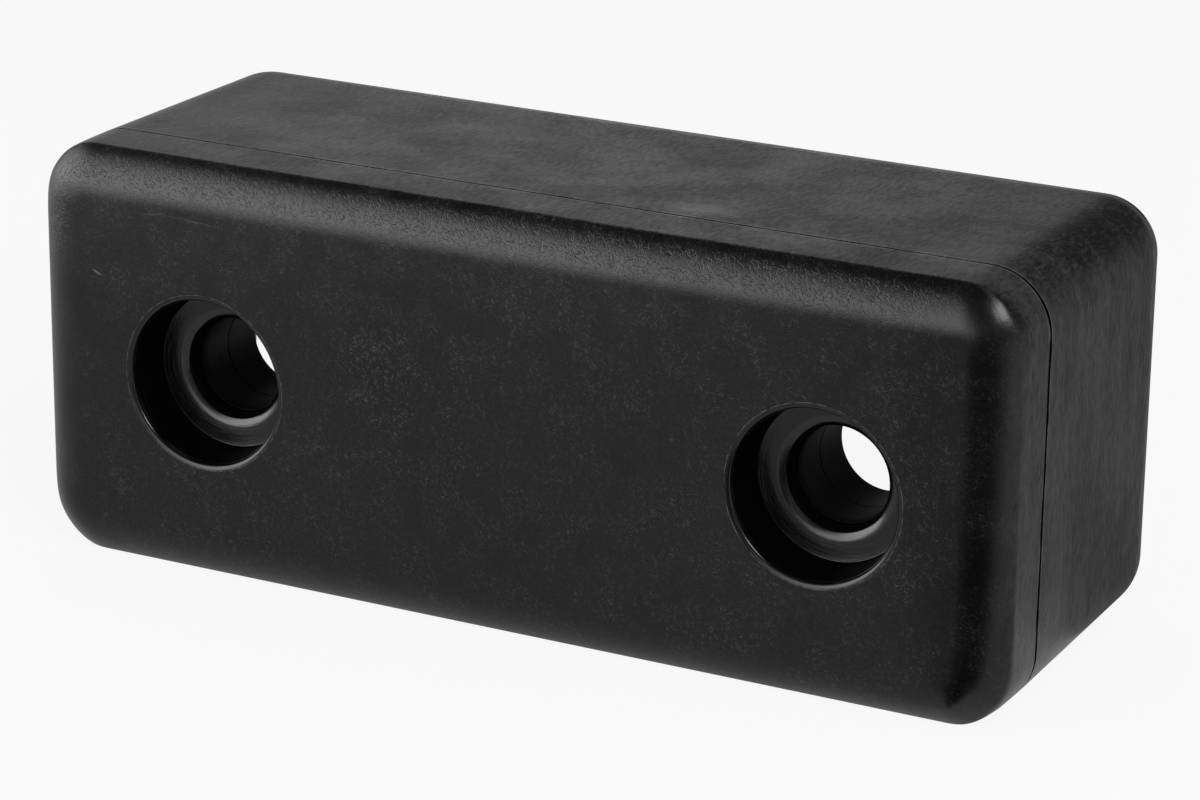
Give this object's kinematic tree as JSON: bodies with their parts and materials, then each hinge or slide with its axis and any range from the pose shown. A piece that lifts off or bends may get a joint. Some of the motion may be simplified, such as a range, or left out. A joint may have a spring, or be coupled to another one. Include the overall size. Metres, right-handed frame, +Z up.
{
  "type": "trailer buffer",
  "caption": "Moulded rubber trailer buffer: a solid-fronted block with a rolled edge, stepped bolt pockets and a hollowed back, bolted flat to a frame to take knocks.",
  "frame": {"origin": "centre of the flat back face, midway along and up the block", "axes": "+X along the block, +Y out of the back face towards what it is bolted to, +Z up; the front face with the bolt pockets looks along -Y"},
  "size_m": [0.25, 0.088, 0.102],
  "materials": {
    "rubber": "matte moulded rubber, lightly scuffed"
  },
  "bodies": {
    "root": {"rubber_block": "rubber"}
  },
  "joints": []
}
